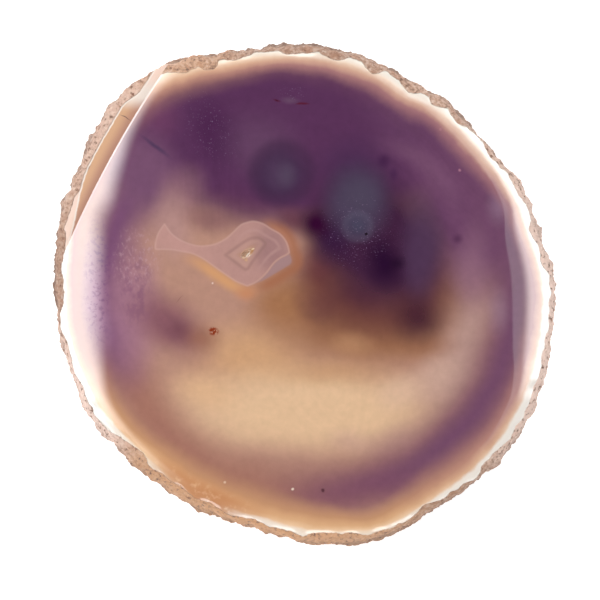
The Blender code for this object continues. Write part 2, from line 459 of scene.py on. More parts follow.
# The width of the pale bands inside the rind, against those of the ramps further down
BAND_WIDTH = (
    (0, 1.1), (12, 1.05), (24, 1.15), (36, 1.4), (48, 1.3), (62, 1.28), (74, 1.25), (84, 1.12), (96, 0.95),
    (108, 0.96), (120, 1.15), (132, 1.1), (150, 0.9), (180, 0.9), (206, 1.0), (218, 0.8), (232, 1.05),
    (262, 1.2), (276, 1.0), (288, 0.82), (300, 1.1), (312, 1.25), (324, 1.15), (340, 1.15),
)
# Shares from 0 to 1, by side: how white the outermost band is, how warm the bands are, how far rust has
# stained them, and how pink, tan or dull the rind is
SIDE_SHARES = {
    "white": (
        (0, 1.0), (25, 0.75), (40, 0.4), (60, 0.6), (76, 0.25), (92, 0.35), (108, 0.0), (128, 0.1),
        (140, 0.8), (170, 0.8), (186, 1.0), (206, 1.0), (218, 0.7), (229, 0.2), (238, 0.0), (248, 0.0),
        (260, 0.6), (276, 0.3), (290, 0.3), (302, 0.75), (314, 0.85), (332, 1.0),
    ),
    "warm": (
        (0, 0.0), (45, 0.0), (70, 0.1), (90, 0.15), (110, 0.4), (130, 0.45), (150, 0.1), (180, 0.1),
        (196, 0.4), (212, 1.0), (288, 1.0), (302, 0.7), (314, 0.45), (338, 0.1),
    ),
    "rust": ((0, 0.0), (200, 0.0), (224, 0.0), (234, 0.8), (248, 1.0), (258, 0.4), (266, 0.0), (300, 0.0)),
    "pink": (
        (0, 1.0), (12, 0.9), (24, 0.9), (40, 0.35), (60, 0.1), (100, 0.0), (120, 0.1), (132, 0.5),
        (150, 0.3), (168, 0.1), (182, 0.1), (192, 0.8), (206, 1.0), (216, 0.8), (226, 0.0), (310, 0.0),
        (324, 0.6), (340, 1.0),
    ),
    "tan": (
        (0, 0.0), (102, 0.0), (116, 0.5), (130, 0.2), (160, 0.0), (206, 0.0), (218, 0.3), (228, 0.8),
        (240, 0.9), (252, 1.0), (285, 0.8), (302, 0.3), (320, 0.0),
    ),
    "dull": (
        (0, 0.0), (20, 0.1), (40, 0.4), (60, 0.3), (72, 0.6), (84, 0.9), (100, 0.9), (110, 0.5),
        (122, 0.3), (150, 0.3), (160, 0.6), (168, 1.0), (182, 1.0), (190, 0.2), (205, 0.0), (226, 0.4),
        (240, 0.3), (262, 0.2), (290, 0.4), (302, 0.9), (314, 0.9), (322, 0.1),
    ),
}

# Where the rind reaches in over the polish, or stands back from it where that is less than zero: the
# middle and half the length in degrees, and millimetres
RIND_REACHES = (
    (8, 3.4, 0.5), (15, 3.0, 0.6), (27, 3.4, 0.5), (36, 4.4, 0.5), (49, 3.2, 0.6), (55, 2.6, 0.8),
    (63, 3.0, 0.7), (73, 3.0, 1.0), (83, 3.6, 0.8), (93, 2.6, 0.5), (106, 2.6, 0.5), (112.3, 2.4, 1.6),
    (118.4, 5.4, 1.2), (160.5, 4.0, 0.8), (168, 4.6, 0.45), (179, 5.4, 0.7), (192, 4.6, 0.35),
    (212, 6.0, -0.5), (223, 4.4, 0.6), (236, 6.0, 0.3), (258, 6.0, 0.3), (279, 7.0, 0.4), (300, 4.6, 0.75),
    (308, 4.4, 0.4), (319, 4.0, 0.7), (347, 5.0, 0.4),
)


def rind_reach(degrees):
    """How far the rind reaches in over the polish at an angle, in millimetres, with all reaches added up."""
    total = 0.0
    for middle, half_length, reach in RIND_REACHES:
        away = ((degrees - middle + 180) % 360 - 180) / half_length
        total += reach * max(0.0, 1 - away * away)
    return total


surface = stone.data
from_middle = to_middle.inverted()
face_points = np.array([corner.co.xy for corner in surface.vertices]) / MM
held = {name: inside(face_points, outline) for name, outline in outlines.items()}
held.update({name: [] for name in ("inset", "rind", "skin", "on_step", *SIDE_SHARES)})
for corner in surface.vertices:
    place = from_middle @ corner.co
    angle = math.atan2(place.y, place.x)
    radius = math.hypot(place.x, place.y)
    skin, polish, ragged_polish, roll = rim_sizes(angle)
    top_edge = THICKNESS - roll_drop(roll, 1.0)
    base_edge = roll_drop(UNDERSIDE_SHARE * roll, 1.0)
    past_blade = (corner.co - blade_middle).to_2d().length > BLADE_RADIUS - FLOOR_TOLERANCE
    stepped = past_blade and abs((corner.co - step_place).dot(step_normal)) < FLOOR_TOLERANCE
    if place.z > WAIST_HEIGHT:
        outer = radius - ragged_polish
        if place.z < top_edge - FLOOR_TOLERANCE and not past_blade:
            outer = max(outer, top_edge - place.z)
        up = (place.z - WAIST_HEIGHT) / (top_edge - WAIST_HEIGHT)
    else:
        outer = radius - skin + UNDERSIDE_SHARE * (skin - polish)
        if place.z > base_edge + FLOOR_TOLERANCE:
            outer = max(outer, place.z - base_edge)
        up = 0.0
    held["inset"].append((polish - radius) / MM / around(BAND_WIDTH, angle))
    held["rind"].append(outer / MM + rind_reach(math.degrees(angle)))
    held["skin"].append(up)
    held["on_step"].append(1.0 if stepped else 0.0)
    for name, marks in SIDE_SHARES.items():
        held[name].append(min(1.0, max(0.0, around(marks, angle))))
for name, values in held.items():
    attribute = surface.attributes.new(name, "FLOAT", "POINT")
    attribute.data.foreach_set("value", np.array(values, dtype=np.float32))
surface.shade_smooth()
surface.set_sharp_from_angle(angle=SHARP_ANGLE)

# The stone's colours
# Plum and smoky bands of chalcedony over a cream and honey heart, with a small pale eye. Each is a soft
# stain, laid in turn over those under it, and the fine bands follow the rind.

# How bright white card looks under the lamps further down
LIGHT_LEVEL = 1.015


def tint(red, green, blue):
    """A colour as it looks in the picture, from 0 to 255, as the share of light that it gives back.

    The numbers are those of the sRGB curve.
    """
    light = []
    for channel in (red, green, blue):
        look = channel / 255
        light.append((look / 12.92 if look <= 0.04045 else ((look + 0.055) / 1.055) ** 2.4) / LIGHT_LEVEL)
    return (*light, 1.0)


class Flow:
    """One output of a shader's node. Arithmetic on it adds Math nodes."""

    def __init__(self, socket):
        self.socket = socket

    def node(self, kind, settings, inputs, output=0):
        """Adds a node with its settings, values and links, and gives one of its outputs."""
        tree = self.socket.id_data
        made = tree.nodes.new(kind)
        for name, value in settings.items():
            if name == "stops":
                ramp = made.color_ramp
                while len(ramp.elements) < len(value):
                    ramp.elements.new(0.5)
                for element, (position, colour) in zip(ramp.elements, value):
                    element.position = position
                    element.color = colour
            else:
                setattr(made, name, value)
        for name, value in inputs.items():
            if isinstance(value, Flow):
                tree.links.new(value.socket, made.inputs[name])
            else:
                made.inputs[name].default_value = value
        return Flow(made.outputs[output])

    def maths(self, operation, first, second):
        return self.node("ShaderNodeMath", {"operation": operation}, {0: first, 1: second})

    def __add__(self, other):
        return self.maths("ADD", self, other)

    def __radd__(self, other):
        return self.maths("ADD", other, self)

    def __sub__(self, other):
        return self.maths("SUBTRACT", self, other)

    def __rsub__(self, other):
        return self.maths("SUBTRACT", other, self)

    def __mul__(self, other):
        return self.maths("MULTIPLY", self, other)

    def __rmul__(self, other):
        return self.maths("MULTIPLY", other, self)

    def __truediv__(self, other):
        return self.maths("DIVIDE", self, other)

    def rising(self, low, high):
        """0 below low, 1 above high, and smooth between. It falls instead where low is above high."""
        limits = {"Value": self, "From Min": min(low, high), "From Max": max(low, high)}
        limits["To Min"] = 0.0 if low < high else 1.0
        limits["To Max"] = 1.0 - limits["To Min"]
        return self.node("ShaderNodeMapRange", {"interpolation_type": "SMOOTHSTEP", "clamp": False}, limits)

    def peak(self, middle, half_width):
        """1 at a value, and down to 0 at half a width on either side of it."""
        return self.maths("ABSOLUTE", self - middle, 0.0).rising(half_width, 0.0)

    def under(self, colour, mask):
        """This colour with another laid over it where a mask is 1."""
        return self.node("ShaderNodeMix", {"data_type": "RGBA"}, {0: mask, 6: self, 7: colour}, 2)

    def vector_maths(self, operation, other, output=0):
        """Vector Math on this and another vector."""
        return self.node("ShaderNodeVectorMath", {"operation": operation}, {0: self, 1: other}, output)

    def scaled(self, amount):
        """A vector times a number."""
        return self.node("ShaderNodeVectorMath", {"operation": "SCALE"}, {0: self, "Scale": amount})

    def brighter(self, amount):
        """A colour times a number."""
        return self.node("ShaderNodeHueSaturation", {}, {"Color": self, "Value": amount})


agate = bpy.data.materials.new("banded_agate")
agate.use_nodes = True
tree = agate.node_tree
shader = tree.nodes["Principled BSDF"]
position = Flow(tree.nodes.new("ShaderNodeTexCoord").outputs["Object"]).scaled(1 / MM)


def flattened(vector, stretch=(1.0, 1.0)):
    """A place with its height taken out. What is drawn at it is stretched along X and Y."""
    return vector.vector_maths("MULTIPLY", (1 / stretch[0], 1 / stretch[1], 0.0))


def holding(name):
    """What the stone's corners hold under a name."""
    return position.node("ShaderNodeAttribute", {"attribute_name": name}, {}, "Fac")


CLOUD_ROUGHNESS = 0.55


def cloud(pitch, detail, where=position, output="Fac"):
    """Soft random mottling from 0 to 1, with the distance between its patches in millimetres."""
    inputs = {"Vector": where, "Scale": 1.0 / pitch, "Detail": detail, "Roughness": CLOUD_ROUGHNESS}
    return where.node("ShaderNodeTexNoise", {"noise_dimensions": "3D"}, inputs, output)


def waver(pitch, detail, amount, where=position):
    """The same mottling about 0, with an amount from its lowest to its highest."""
    return (cloud(pitch, detail, where) - 0.5) * amount


def drifted(pitch, distance):
    """The flat place, moved about a little so that stains don't look drawn."""
    drift = cloud(pitch, 2.0, position, "Color").vector_maths("SUBTRACT", (0.5, 0.5, 0.5))
    return flattened(position.vector_maths("ADD", drift.scaled(distance)))


flat = flattened(position)
broad = drifted(pitch=13.0, distance=2.4)
near = drifted(pitch=2.0, distance=0.5)
inset_mm = holding("inset")
rind_mm = holding("rind")
on_step = holding("on_step")

turned_places = {}


def turned(where, lean):
    """A place turned about the middle of the slice, so that an ellipse that leans by an angle lies level."""
    if lean == 0:
        return where
    if (where, lean) not in turned_places:
        angle = math.radians(lean)
        x = where.vector_maths("DOT_PRODUCT", (math.cos(angle), math.sin(angle), 0.0), "Value")
        y = where.vector_maths("DOT_PRODUCT", (-math.sin(angle), math.cos(angle), 0.0), "Value")
        turned_places[where, lean] = where.node("ShaderNodeCombineXYZ", {}, {"X": x, "Y": y})
    return turned_places[where, lean]


def reach(centre, radii, lean=0, where=broad):
    """0 in the middle of an ellipse, 1 on its edge, and more outside it."""
    middle = Vector(centre)
    middle.rotate(Matrix.Rotation(-math.radians(lean), 2))
    scale = (1 / radii[0], 1 / radii[1], 0.0)
    shift = (-middle.x / radii[0], -middle.y / radii[1], 0.0)
    level = turned(where, lean)
    local = level.node("ShaderNodeVectorMath", {"operation": "MULTIPLY_ADD"}, {0: level, 1: scale, 2: shift})
    return local.node("ShaderNodeVectorMath", {"operation": "LENGTH"}, {0: local}, "Value")


def spot(centre, radii, lean=0.0, edge=1.0, where=broad):
    """1 in the middle of an ellipse and 0 outside it. A small edge makes its border sharper."""
    return reach(centre, radii, lean, where).rising(1.0, 1.0 - edge)


def ring(centre, radius, half_width, where=broad):
    """1 along a circle, and 0 away from it."""
    return reach(centre, (radius, radius), 0.0, where).peak(1.0, half_width / radius)


def plain(look):
    """One colour all over, for others to be laid on."""
    made = position.node("ShaderNodeRGB", {}, {}, "Color")
    made.socket.default_value = tint(*look)
    return made


def laid(under, name, look, mask, strength=1.0):
    """A colour with another laid over it, at a strength, where a mask is 1."""
    if strength != 1.0:
        mask = mask * strength
    mask.socket.node.label = name
    return under.under(tint(*look), mask)


def layered(under, layers):
    """A colour with layers laid over it in turn: each a name, a colour, a mask and a strength."""
    for layer in layers:
        under = laid(under, *layer)
    return under


def stained(under, stains, where):
    """A colour with a list of stains laid over it in turn."""
    for name, look, centre, *shape in stains:
        if isinstance(shape[0], tuple):
            radii, lean, strength, edge = shape
            mask = spot(centre, radii, lean, edge, where)
        else:
            radius, half_width, strength, where_seen = shape
            mask = ring(centre, radius, half_width, where) * spot(*where_seen, where)
        under = laid(under, name, look, mask, strength)
    return under


# The body of the stone from its deepest stains up: what is seen, its colour, middle, radii, lean, strength
# and how soft its edge is. A ring has one radius and half its width, and the spot that it is seen in.
GROUND = (188, 143, 125)
RING_CENTRE = (1.3, 0.8)
STAINS = (
    ("honey rise", (211, 163, 123), (-9.0, -11.5), (17.0, 9.5), -8, 1.0, 0.9),
    ("honey brown", (162, 112, 80), (9.8, -6.4), (24.5, 9.0), -6, 0.95, 0.8),
    ("cream smile", (232, 193, 155), (0.8, -20.6), (32.8, 10.4), 0, 1.0, 0.7),
    ("brown ring", (168, 116, 101), RING_CENTRE, 36.6, 7.9, 0.95, ((0.0, -20.0), (60.0, 40.0), 0, 0.4)),
    ("smile's right horn", (186, 148, 138), RING_CENTRE, 29.2, 6.5, 1.0,
     ((28.2, -9.0), (15.0, 21.0), 0, 0.8)),
    ("brown under the plum", (116, 70, 62), (13.0, 1.8), (21.5, 13.0), 0, 1.0, 0.55),
    ("plum", (91, 51, 88), (0.0, 35.4), (46.0, 26.5), 0, 1.0, 0.3),
    ("plum at the right", (110, 68, 101), (31.0, 16.0), (16.0, 21.0), 20, 1.0, 0.6),
    ("violet at the upper left", (74, 34, 74), (-15.5, 28.6), (6.6, 9.0), 24, 0.8, 0.9),
    ("mauve by the step", (122, 70, 104), (-26.5, 32.0), (6.5, 6.5), 0, 0.6, 1.0),
    ("lilac at the upper right", (112, 72, 104), (19.0, 30.5), (15.0, 8.0), -32, 0.5, 1.0),
    ("plum over the eye", (98, 56, 86), (-10.5, 15.6), (12.0, 5.0), -14, 0.6, 1.0),
    ("grey lilac over the smoky spot", (114, 82, 110), (-8.0, 26.8), (10.5, 8.4), -10, 0.42, 1.0),
    ("violet over the heart", (54, 38, 74), (8.6, 22.4), (9.4, 8.0), 0, 0.45, 1.0),
    ("mauve ring at the right", (119, 77, 105), RING_CENTRE, 36.6, 7.9, 1.0,
     ((28.0, -12.0), (46.0, 46.0), 0, 0.7)),
    ("purple at the bottom", (112, 62, 100), RING_CENTRE, 36.4, 6.0, 0.45,
     ((10.0, -36.0), (19.0, 11.0), 0, 0.8)),
    ("rose at the right", (156, 112, 132), (30.2, 4.4), (4.6, 12.0), 0, 0.6, 1.0),
    ("lilac by the right band", (162, 132, 154), (34.6, 16.0), (3.0, 5.0), 0, 0.45, 1.0),
    ("lilac lower by the right band", (162, 132, 154), (34.6, -3.0), (3.0, 6.0), 0, 0.4, 1.0),
    ("cream at the smile's right end", (212, 174, 156), (23.6, -14.8), (7.4, 5.4), 40, 0.7, 1.0),
    ("cream at the smile's left end", (234, 188, 144), (-18.0, -17.4), (9.0, 5.0), -12, 0.6, 1.0),
    ("pale right of the smile", (232, 194, 168), (17.4, -17.6), (6.4, 4.2), 20, 0.5, 1.0),
    ("mauve under the smile", (158, 114, 122), (16.4, -25.8), (9.0, 4.4), 24, 0.4, 1.0),
    ("pale mauve at the smile's foot", (186, 142, 142), (8.4, -26.0), (6.0, 3.4), 0, 0.3, 1.0),
    ("brown under the fold", (148, 94, 62), (21.6, -9.4), (8.0, 3.4), 0, 0.4, 1.0),
    ("purple ring at the left", (124, 80, 114), RING_CENTRE, 36.6, 7.0, 1.0,
     ((-35.0, 5.0), (16.0, 28.0), 0, 0.6)),
    ("lilac at the upper left", (121, 81, 111), (-28.5, 21.0), (9.0, 13.0), 25, 1.0, 0.8),
    ("pale lilac by the tongue", (150, 108, 118), (-22.0, 18.4), (6.0, 7.0), -50, 0.6, 0.9),
    ("tan tongue", (184, 142, 136), (-23.5, 12.0), (5.5, 9.0), 10, 0.9, 0.9),
    ("pink at the left", (172, 123, 146), (-30.4, -2.5), (7.2, 17.0), 0, 0.75, 0.9),
    ("lilac inside the left band", (204, 160, 186), (-37.0, -1.0), (3.4, 14.5), 4, 0.6, 1.0),
    ("plum brown over the eye", (138, 96, 98), (-17.0, 13.2), (7.0, 3.4), -8, 0.75, 0.9),
    ("mauve spot", (134, 84, 98), (-24.0, -5.5), (11.5, 7.0), -38, 0.9, 0.9),
    ("gold brown by the eye", (168, 116, 80), (-4.0, -1.6), (9.0, 8.0), 0, 0.9, 0.9),
    ("brown right of the mauve spot", (148, 94, 70), (-18.4, -7.6), (5.0, 4.0), 0, 0.55, 1.0),
    ("gold under the heart", (198, 146, 100), (5.6, -13.8), (15.0, 3.8), 0, 0.5, 1.0),
    ("honey under the heart", (190, 140, 104), (8.6, -9.0), (6.0, 3.4), 0, 0.7, 1.0),
    ("plum by the eye's nose", (92, 42, 64), (-1.6, 13.0), (5.4, 4.2), 0, 0.7, 1.0),
    ("maroon brown below the spot", (104, 46, 58), (2.0, 5.6), (4.6, 7.0), 0, 0.5, 1.0),
    ("brown left of the heart", (110, 64, 64), (2.0, -1.6), (5.4, 5.0), 0, 0.65, 1.0),
    ("maroon under the heart", (74, 30, 54), (9.6, -0.6), (8.0, 4.6), -16, 0.55, 1.0),
    ("dark heart", (66, 32, 62), (13.0, 9.6), (17.6, 13.6), -44, 1.0, 0.6),
    ("violet left of the heart", (54, 22, 60), (4.6, 10.4), (5.4, 6.2), 0, 0.9, 0.9),
    ("maroon spot", (52, 4, 46), (2.5, 12.7), (4.4, 4.2), -12, 1.0, 0.9),
    ("smoky blue", (78, 66, 90), (9.6, 16.6), (7.6, 9.0), 0, 0.9, 0.7),
    ("smoky column", (82, 55, 85), (21.0, 8.0), (5.6, 13.0), 0, 0.9, 0.8),
    ("darkest fold", (38, 6, 44), (14.0, 5.6), (4.8, 7.0), 10, 0.95, 1.0),
    ("lower dark fold", (64, 26, 46), (20.4, -4.4), (7.4, 6.4), -40, 0.85, 1.0),
    ("smoky spot", (70, 46, 76), (-4.0, 21.7), (7.2, 6.8), 0, 0.9, 0.6),
    ("smoky spot's middle", (84, 62, 90), (-4.0, 21.7), (4.2, 4.2), 0, 0.7, 0.9),
    ("pink arc", (124, 82, 113), (9.0, 8.0), 19.7, 3.2, 0.7, ((22.0, 22.0), (13.0, 13.0), 0, 0.8)),
)
colour = stained(plain(GROUND), STAINS, broad)

# Fine bands that follow the rind, streaks at the upper left, and the stone's slight cloudiness. Contrasts
# are shares of the stone's brightness, from the darkest to the palest.
BANDS_PER_MM = 0.7
BAND_CONTRAST = 0.04
ADDED_BAND_CONTRAST = 0.24
BANDED_SPOT = ((28.0, 26.0), (20.0, 20.0))
STREAK_STRETCH = (1.0, 9.0)
STREAK_CONTRAST = 0.3
STREAKED_SPOT = ((-17.0, 20.0), (13.0, 16.0))
CLOUD_CONTRAST = 0.24
wander = waver(4.5, 3.0, 1.2)
fine_bands = inset_mm.node(
    "ShaderNodeTexNoise",
    {"noise_dimensions": "1D"},
    {"W": inset_mm + wander, "Scale": BANDS_PER_MM, "Detail": 2.0},
    "Fac",
)
band_contrast = BAND_CONTRAST + ADDED_BAND_CONTRAST * spot(*BANDED_SPOT)
streaks = waver(1.0, 3.0, STREAK_CONTRAST, flattened(position, STREAK_STRETCH)) * spot(*STREAKED_SPOT)
cloudiness = waver(1.6, 5.0, CLOUD_CONTRAST) + (fine_bands - 0.5) * band_contrast + streaks
colour = colour.brighter(1.0 + cloudiness)

# Small marks inside the stone
MARKS = (
    ("dark ring of the smoky spot", (62, 38, 66), (-4.0, 21.7), 5.0, 2.2, 0.35,
     ((-4.0, 21.7), (9.0, 9.0), 0, 0.2)),
    ("smoky spot's pale side", (90, 76, 98), (-3.2, 21.2), (2.6, 3.4), 0, 0.5, 1.0),
    ("grey green patch", (82, 74, 94), (10.0, 17.4), (5.0, 5.0), -10, 0.5, 1.0),
    ("blue of the speckled ring", (74, 76, 98), (9.5, 12.1), (3.0, 2.8), 0, 0.55, 0.9),
    ("speckled ring", (104, 100, 122), (9.5, 12.1), 2.3, 1.2, 0.2, ((9.5, 12.1), (6.0, 6.0), 0, 0.2)),
    ("black dot", (24, 8, 22), (11.0, 10.8), (0.45, 0.45), 0, 0.9, 0.7),
    ("small dark spot above", (54, 22, 62), (14.1, 23.8), (1.8, 1.9), 0, 0.55, 1.0),
    ("small dark spot beside it", (66, 34, 74), (15.9, 21.4), (1.2, 2.0), 0, 0.5, 1.0),
    ("small dark spot at the right", (74, 38, 70), (27.3, 9.9), (1.4, 1.2), 0, 0.6, 1.0),
    ("dark spot in the fold", (30, 6, 36), (16.6, 5.6), (2.2, 1.8), 20, 0.6, 1.0),
    ("brown ring", (104, 62, 62), (2.2, -0.5), 3.4, 1.8, 0.15, ((2.2, -0.5), (7.0, 7.0), 0, 0.2)),
    ("dark spot at the left", (108, 62, 76), (-22.3, -6.4), (3.6, 3.2), 0, 0.5, 1.0),
    ("haze in the lens", (120, 96, 116), (-2.6, 34.6), (2.4, 0.9), -4, 0.35, 1.0),
    ("left dash of the lens", (84, 26, 50), (-4.9, 34.6), (1.1, 0.3), -20, 0.85, 0.8),
    ("right dash of the lens", (92, 28, 44), (-0.4, 34.0), (1.7, 0.32), 2, 0.85, 0.8),
    ("crack", (74, 56, 88), (-26.6, 26.4), (4.6, 0.6), -37, 0.8, 1.0),
    ("dark spot at the bottom", (70, 34, 44), (3.3, -35.0), (0.5, 0.5), 0, 0.8, 0.8),
    ("white speck at the bottom", (245, 225, 205), (-2.1, -34.7), (0.35, 0.35), 0, 0.9, 0.7),
    ("white speck at the lower left", (245, 225, 205), (-14.2, -33.6), (0.35, 0.3), 0, 0.9, 0.7),
    ("pink speck at the upper right", (196, 140, 160), (24.3, 29.5), (0.4, 0.4), 0, 0.8, 0.8),
    ("pink speck at the right", (190, 130, 150), (27.7, 22.1), (0.35, 0.35), 0, 0.7, 0.8),
    ("scratch", (138, 92, 92), (-22.3, -0.8), (1.3, 0.12), 49, 0.6, 0.9),
    ("white speck under the eye", (240, 216, 206), (-16.4, 1.9), (0.25, 0.25), 0, 0.8, 0.8),
)
colour = stained(colour, MARKS, near)

# Mottled marks: the spots where each is seen, and the cloud that breaks it up, between two of its levels
FIBRE_STRETCH = (1.0, 1.7)
fibres = flattened(position, FIBRE_STRETCH)
bruise = spot((-30.0, 1.3), (4.4, 10.8), 0, 0.8) * cloud(1.3, 5.0, fibres).rising(0.38, 0.62)
speckles = spot((-29.9, 6.6), (5.4, 6.8), 0, 0.5) * cloud(0.5, 4.0, fibres).rising(0.5, 0.68)
freckles = spot((-36.8, 2.0), (3.4, 15.0), 0, 0.6) * cloud(0.7, 5.0).rising(0.47, 0.66)
dusty = spot((-17.0, 29.5), (7.0, 9.5), 30, 0.8) + spot((-2.6, 36.0), (4.0, 1.8), 0, 0.8) * 1.3
dusty = dusty + spot((9.6, 11.0), (8.0, 8.0), 0, 0.6) * 1.2
dust = cloud(0.24, 1.0).rising(0.64, 0.78) * dusty
star = spot((-16.2, -6.6), (1.1, 0.95), 0, 0.5, near) * cloud(0.5, 2.0).rising(0.42, 0.5)
colour = layered(colour, (
    ("bruise", (122, 76, 108), bruise, 0.45),
    ("speckles", (204, 164, 176), speckles, 0.35),
    ("freckles", (104, 54, 112), freckles, 0.42),
    ("dust", (150, 124, 160), dust, 0.5),
    ("rusty star", (142, 48, 20), star, 0.95),
))

# The eye: gold and orange under its outline, its own fill with finer lines, and the quartz at its heart with
# painted glints.
# A line's peak is its depth inside an outline and half its width. A fill rises between two depths.
EYE_FILL = (189, 145, 138)
eye_mm = holding("eye")
lobe_mm = holding("lobe")
diamond_mm = holding("diamond")
either_mm = eye_mm.maths("MAXIMUM", eye_mm, lobe_mm)
gold = either_mm.peak(-1.0, 1.9) * spot((-15.6, 2.8), (9.0, 6.0), -35, 0.8)
glow = either_mm.peak(-0.9, 1.8) * spot((-4.2, 6.0), (8.0, 9.0), 0, 0.5)
red_edge = either_mm.peak(-0.4, 0.8) * spot((-3.2, 11.2), (4.6, 3.4), -40, 0.7)
nose_line = eye_mm.peak(1.5, 0.5) * spot((-7.0, 9.0), (7.0, 6.0), 0, 0.6)
eye_fill = layered(plain(EYE_FILL), (
    ("eye's tail", (196, 150, 142), spot((-22.0, 9.5), (9.0, 9.0), 0, 0.8), 1.0),
    ("eye's nose", (164, 124, 124), spot((-6.0, 8.0), (5.0, 6.0), 0, 0.8), 1.0),
    ("line in the nose", (194, 152, 148), nose_line, 0.5),
))
eye_fill = eye_fill.brighter(1.0 + waver(1.2, 3.0, 0.2))
colour = layered(colour, (
    ("gold", (220, 162, 112), gold, 0.85),
    ("glow", (170, 108, 78), glow, 0.75),
    ("red edge", (182, 124, 100), red_edge, 0.7),
    ("orange foot", (204, 138, 100), spot((-10.4, 0.2), (3.0, 2.0), 0, 1.0, near), 0.8),
))
colour = colour.under(eye_fill, eye_mm.rising(-0.15, 0.25) * 0.9)
colour = layered(colour, (
    ("lobe", (168, 134, 136), lobe_mm.rising(-0.15, 0.35), 0.85),
    ("eye's pale outline", (212, 170, 160), eye_mm.peak(0.0, 0.3), 0.5),
    ("diamond's dark line", (150, 114, 106), diamond_mm.peak(0.1, 0.5), 0.42),
    ("diamond's pale line", (198, 156, 140), diamond_mm.peak(0.8, 0.6), 0.4),
    ("diamond's middle", (190, 146, 118), diamond_mm.rising(0.9, 1.6), 0.6),
))
# The glints are painted highlights. The pale quartz stain is partly the crystals' colour and partly painted
# light over the shade in the hollow.
QUARTZ = (
    ("quartz", (216, 180, 150), (-10.2, 7.3), (1.6, 1.0), 38, 0.7, 0.6),
    ("gold grain", (176, 126, 76), (-9.5, 7.7), (0.95, 0.5), 45, 0.85, 0.7),
    ("white glint", (250, 240, 226), (-10.1, 7.1), (0.8, 0.2), 52, 0.9, 0.6),
    ("upper glint", (240, 216, 184), (-9.2, 8.1), (0.4, 0.18), 20, 0.8, 0.6),
    ("cream grain", (226, 192, 152), (-10.9, 6.6), (0.35, 0.3), 0, 0.8, 0.7),
    ("lower cream grain", (214, 172, 128), (-10.4, 6.1), (0.4, 0.3), 0, 0.7, 0.7),
)
colour = stained(colour, QUARTZ, flat)

# The pale bands inside the rind, from its edge inwards: cool where the body is plum, warm at the bottom.
# A fade gives the depths in millimetres where a band is gone and where it is full.
RAMP_REACH = 8.0
COOL_BANDS = ((0.0, (255, 244, 230)), (0.75, (248, 220, 196)), (1.6, (216, 172, 152)), (2.6, (174, 122, 126)))
WARM_BANDS = ((0.0, (255, 232, 208)), (0.9, (252, 212, 172)), (1.9, (230, 180, 136)), (3.4, (206, 154, 114)))
COOL_FADE = (4.6, 1.9)
WARM_FADE = (6.6, 2.4)
RUST = (204, 140, 96)
RUST_FADE = (4.0, 1.6)
RUST_PATCHES = (0.15, 0.5)
WHITE_LINE = (255, 247, 238)
WHITE_FADE = (1.05, 0.45)
WHITE_WIDENING = 0.35
rind_edge = rind_mm + waver(1.7, 3.0, 0.9)
band_depth = inset_mm + wander


def bands(stops):
    """Bands of colour at their depths inside the rind."""
    placed = [(depth / RAMP_REACH, tint(*look)) for depth, look in stops]
    return flat.node("ShaderNodeValToRGB", {"stops": placed}, {"Fac": band_depth / RAMP_REACH}, "Color")


warmth = holding("warm")
rim_bands = bands(COOL_BANDS).under(bands(WARM_BANDS), warmth)
cool_share = band_depth.rising(*COOL_FADE)
warm_share = band_depth.rising(*WARM_FADE)
colour = colour.under(rim_bands, cool_share + (warm_share - cool_share) * warmth)
rust = holding("rust") * band_depth.rising(*RUST_FADE) * cloud(1.4, 3.0).rising(*RUST_PATCHES)
whiteness = holding("white")
white_depth = inset_mm + waver(2.6, 3.0, 0.8) - whiteness * WHITE_WIDENING
colour = layered(colour, (
    ("rust", RUST, rust, 0.92),
    ("white line", WHITE_LINE, white_depth.rising(*WHITE_FADE) * whiteness),
))

# The step: a painted highlight along the cut's edge, then a tan strip with painted shade beside the cut, a
# thin white line and the rind. Past the cut and out of the strip are millimetres across the step, and along
# is millimetres up the view.
CUT_EDGE_HIGHLIGHT = (255, 244, 240)
CUT_HIGHLIGHT_SIDE = (-0.4, -0.15)
CUT_HIGHLIGHT_LEAST = 0.08
CUT_HIGHLIGHT_RISE = 0.5
CUT_HIGHLIGHT_ALONG = (16.0, 34.0)
STEP_TAN = (224, 179, 143)
STEP_SHADE = (196, 148, 136)
STEP_PINK = (255, 226, 210)
STRIP_WIDTH = 2.75
STRIP_TAPER = (8.0, 24.0)
STRIP_TOP = (33.5, 36.5)
STRIP_TOP_LOSS = 0.5
STRIP_CLEARANCE = 0.2
STRIP_START = (16.5, 19.5)
blade_middle_mm = (blade_middle.x / MM, blade_middle.y / MM, 0.0)
past_cut = flat.vector_maths("DISTANCE", blade_middle_mm, "Value") - BLADE_RADIUS / MM
along = flat.node("ShaderNodeSeparateXYZ", {}, {0: flat}, "Y")
strip = along.rising(*STRIP_TAPER) * STRIP_WIDTH - along.rising(*STRIP_TOP) * STRIP_WIDTH * STRIP_TOP_LOSS
step_out = past_cut - strip + waver(1.1, 2.0, 0.3)
step_colour = layered(plain(STEP_TAN), (
    ("shade beside the cut", STEP_SHADE, past_cut.rising(2.2, 0.0), 0.7),
    ("crack across the strip", (110, 84, 84), spot((-32.0, 31.6), (1.5, 0.14), -28, 0.8, near), 0.8),
    ("grey line by the rind", (128, 112, 118), spot((-39.2, 21.7), (3.4, 0.35), 62, 0.8, near), 0.7),
    ("white upper end", WHITE_LINE, along.rising(32.5, 35.5), 0.85),
    ("pink upper end", STEP_PINK, along.rising(36.0, 39.5), 0.9),
    ("pink out of the strip", STEP_PINK, step_out.rising(-0.15, 0.1)),
    ("thin white line", WHITE_LINE, step_out.peak(0.05, 0.25), 0.8),
))
